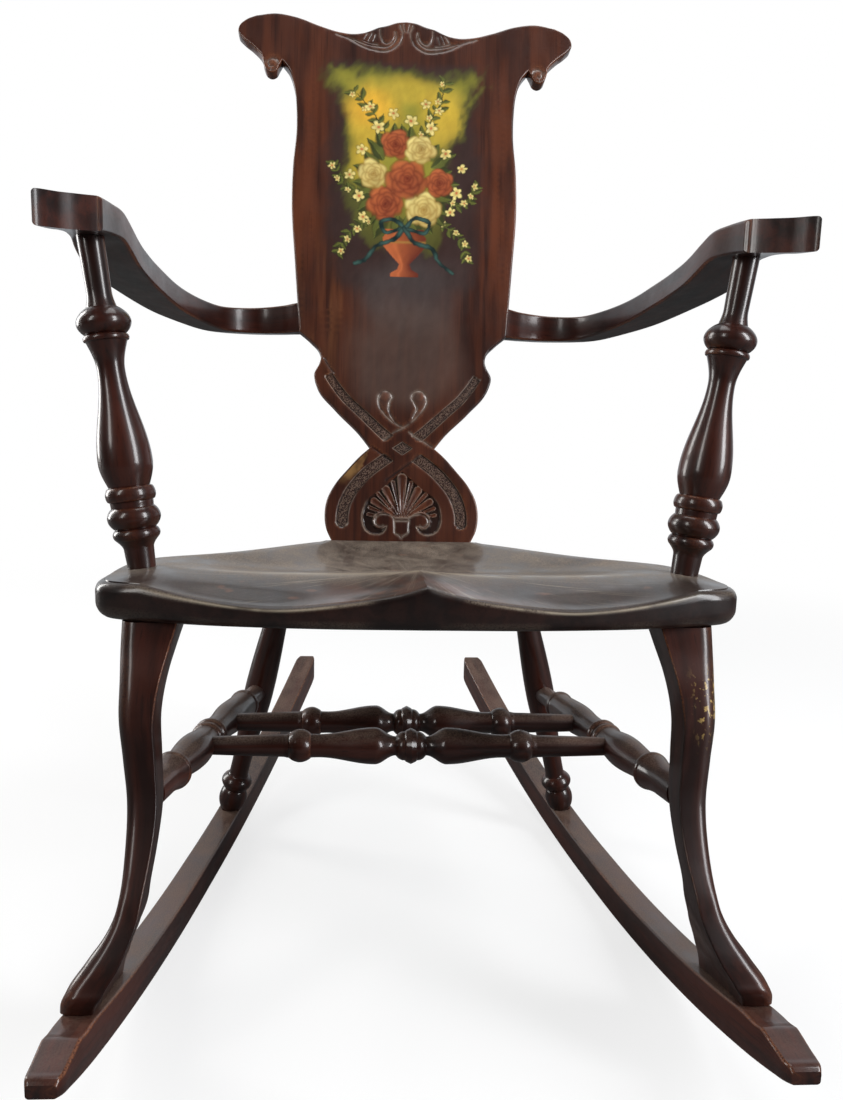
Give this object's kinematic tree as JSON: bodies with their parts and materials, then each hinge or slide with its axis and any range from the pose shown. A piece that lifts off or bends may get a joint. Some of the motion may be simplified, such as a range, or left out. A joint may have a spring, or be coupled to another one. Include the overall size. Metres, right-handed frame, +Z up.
{
  "type": "boston rocking chair",
  "caption": "Wooden rocking chair with a saddled plank seat, carved and painted back splat, lobed arms on turned posts, cabriole front legs and long curved rockers.",
  "frame": {"origin": "on the floor, under the middle of the chair's width and midway between the ends of the rockers", "axes": "+Z up, +X at the sitter's left hand, -Y the way the sitter faces"},
  "size_m": [0.652, 0.878, 1.0385],
  "materials": {
    "mahogany": "dark red-brown stain under semi-gloss varnish",
    "seat_wood": "dark brown varnish, worn and dusty, fine scratches",
    "splat_wood": "dark red-brown varnish with a painted panel and shallow carving",
    "birch": "plain, unvarnished dowel wood",
    "screw_steel": "dull steel"
  },
  "bodies": {
    "root": {"seat": "seat_wood", "back_splat": "splat_wood", "cross_stretcher_front": "mahogany", "cross_stretcher_rear": "mahogany", "arm_left": "mahogany", "arm_post_left": "mahogany", "front_leg_left": "mahogany", "rear_leg_left": "mahogany", "side_stretcher_left": "mahogany", "rocker_left": "mahogany", "front_leg_dowel_left": "birch", "toe_dowel_left": "birch", "arm_screw_left_1": "screw_steel", "arm_screw_left_2": "screw_steel", "arm_right": "mahogany", "arm_post_right": "mahogany", "front_leg_right": "mahogany", "rear_leg_right": "mahogany", "side_stretcher_right": "mahogany", "rocker_right": "mahogany", "front_leg_dowel_right": "birch", "toe_dowel_right": "birch", "arm_screw_right_1": "screw_steel", "arm_screw_right_2": "screw_steel", "splat_screw_1": "screw_steel", "splat_screw_2": "screw_steel", "splat_screw_3": "screw_steel"}
  },
  "joints": []
}
